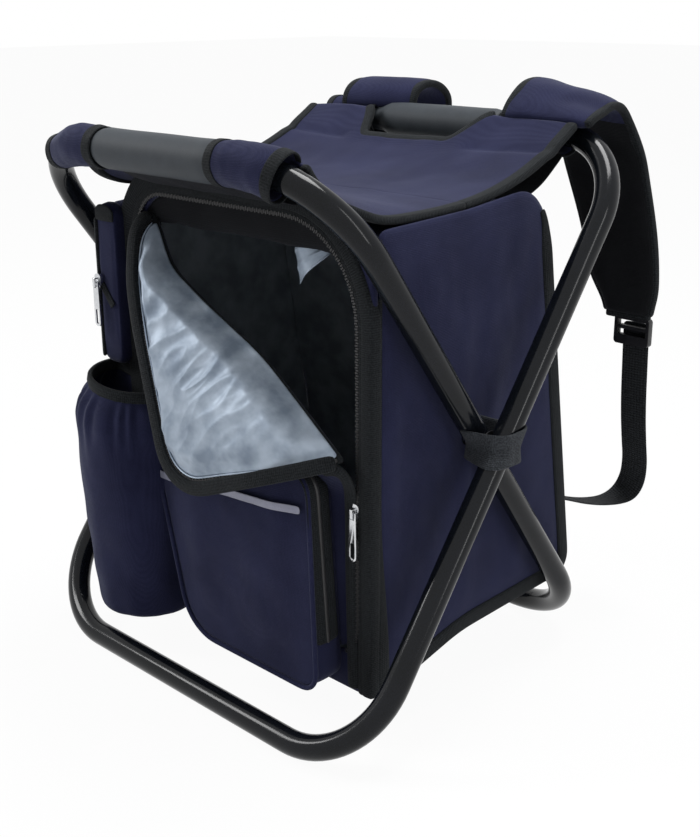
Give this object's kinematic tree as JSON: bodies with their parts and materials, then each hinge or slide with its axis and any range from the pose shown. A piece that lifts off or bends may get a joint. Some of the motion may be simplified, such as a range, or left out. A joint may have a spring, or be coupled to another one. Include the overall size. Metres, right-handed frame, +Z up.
{
  "type": "folding cooler stool",
  "caption": "Folding stool with two crossed tube frames, a fabric seat, an insulated backpack bag hung between them, zipped door and pockets, and shoulder straps.",
  "frame": {"origin": "on the floor under the middle of the front floor rail, on the rail's flat underside", "axes": "+Z up from the floor, -Y towards the front of the bag with the pockets, +X to the right of a person who looks at that front, in metres"},
  "size_m": [0.3964, 0.4069, 0.4601],
  "materials": {
    "painted_steel": "gloss black paint on bent steel tube",
    "foam": "matt grey closed-cell foam with a fine skin",
    "chrome": "bright plated metal",
    "nylon": "black moulded nylon, slight sheen",
    "navy_cloth": "dark navy woven polyester",
    "charcoal_cloth": "charcoal ribbed binding and webbing",
    "silver_foil": "silver-blue metallised lining fabric",
    "dark_lining": "metallised lining seen in shade",
    "reflective": "grey-violet reflective tape"
  },
  "bodies": {
    "bag": {"ladder_lock_right": "nylon", "ladder_lock_left": "nylon", "bag_right_panel": "navy_cloth", "bag_left_panel": "navy_cloth", "bag_bottom_panel": "navy_cloth", "bag_back_panel": "navy_cloth", "bag_top_panel": "navy_cloth", "bag_front_surround": "navy_cloth", "door_panel": "navy_cloth", "front_pocket": "navy_cloth", "bottle_pocket": "navy_cloth", "side_pocket": "navy_cloth", "seat_panel": "navy_cloth", "shoulder_pad_right": "navy_cloth", "shoulder_pad_left": "navy_cloth", "bag_right_binding": "charcoal_cloth", "bag_left_binding": "charcoal_cloth", "main_zip_tape": "charcoal_cloth", "pocket_zip_tape": "charcoal_cloth", "bottle_pocket_rim": "charcoal_cloth", "side_zip_tape": "charcoal_cloth", "front_hanger": "charcoal_cloth", "rear_hanger": "charcoal_cloth", "pivot_strap_right": "charcoal_cloth", "pivot_strap_left": "charcoal_cloth", "strap_webbing_right": "charcoal_cloth", "strap_webbing_left": "charcoal_cloth", "cooler_lining": "dark_lining", "pocket_reflective_strip": "reflective"},
    "inner_frame": {"inner_frame_tube": "painted_steel", "inner_frame_spigot": "painted_steel", "front_foam_grip": "foam", "front_sleeve_left": "navy_cloth", "front_sleeve_right": "navy_cloth", "pivot_rivet_right": "chrome", "pivot_rivet_left": "chrome", "pivot_washer_right": "nylon", "pivot_washer_left": "nylon"},
    "outer_frame": {"outer_frame_tube": "painted_steel", "outer_frame_spigot": "painted_steel", "rear_foam_grip": "foam", "rear_sleeve_left": "navy_cloth", "rear_sleeve_right": "navy_cloth"},
    "door_flap": {"door_flap": "silver_foil"},
    "main_slider": {"main_zip_slider": "chrome"},
    "main_pull": {"main_zip_pull": "chrome"},
    "pocket_slider": {"pocket_zip_slider": "chrome"},
    "pocket_pull": {"pocket_zip_pull": "chrome"},
    "side_slider": {"side_zip_slider": "chrome"},
    "side_pull": {"side_zip_pull": "chrome"}
  },
  "joints": [
    {"name": "fold_outer", "type": "hinge", "parent": "bag", "child": "outer_frame", "pos_m": [0, 0.1507, 0.21396], "axis": [1, 0, 0], "range_deg": [0, 31.4], "deforming": ["seat_panel", "rear_hanger", "shoulder_pad_right", "shoulder_pad_left", "pivot_strap_right", "pivot_strap_left"]},
    {"name": "fold_inner", "type": "hinge", "parent": "bag", "child": "inner_frame", "pos_m": [0, 0.1507, 0.21396], "axis": [-1, 0, 0], "range_deg": [0, 31.4], "deforming": ["seat_panel", "front_hanger", "pivot_strap_right", "pivot_strap_left"]},
    {"name": "door_fold", "type": "hinge", "parent": "bag", "child": "door_flap", "pos_m": [-0.09, 0.0477, 0.36805], "axis": [-0.8349, 0.0628, 0.5468], "range_deg": [0, 165]},
    {"name": "main_zip_run", "type": "slide", "parent": "bag", "child": "main_slider", "axis": [0, 0, 1], "range_m": [-0.08, 0.01]},
    {"name": "main_pull_swing", "type": "hinge", "parent": "main_slider", "child": "main_pull", "pos_m": [0.1365, 0.0469, 0.17935], "axis": [-1, 0, 0], "range_deg": [0, 130]},
    {"name": "pocket_zip_run", "type": "slide", "parent": "bag", "child": "pocket_slider", "axis": [1, 0, 0], "range_m": [-0.015, 0.055]},
    {"name": "pocket_pull_swing", "type": "hinge", "parent": "pocket_slider", "child": "pocket_pull", "pos_m": [0.024, 0.0414, 0.2118], "axis": [0, 1, 0], "range_deg": [0, 75]},
    {"name": "side_zip_run", "type": "slide", "parent": "bag", "child": "side_slider", "axis": [0.6428, 0, -0.766], "range_m": [0, 0.012]},
    {"name": "side_pull_swing", "type": "hinge", "parent": "side_slider", "child": "side_pull", "pos_m": [-0.137, 0.0336, 0.304], "axis": [-1, 0, 0], "range_deg": [0, 150]}
  ],
  "couplings": [
    {"joint": "fold_inner", "follows": "fold_outer", "ratio": 1}
  ]
}
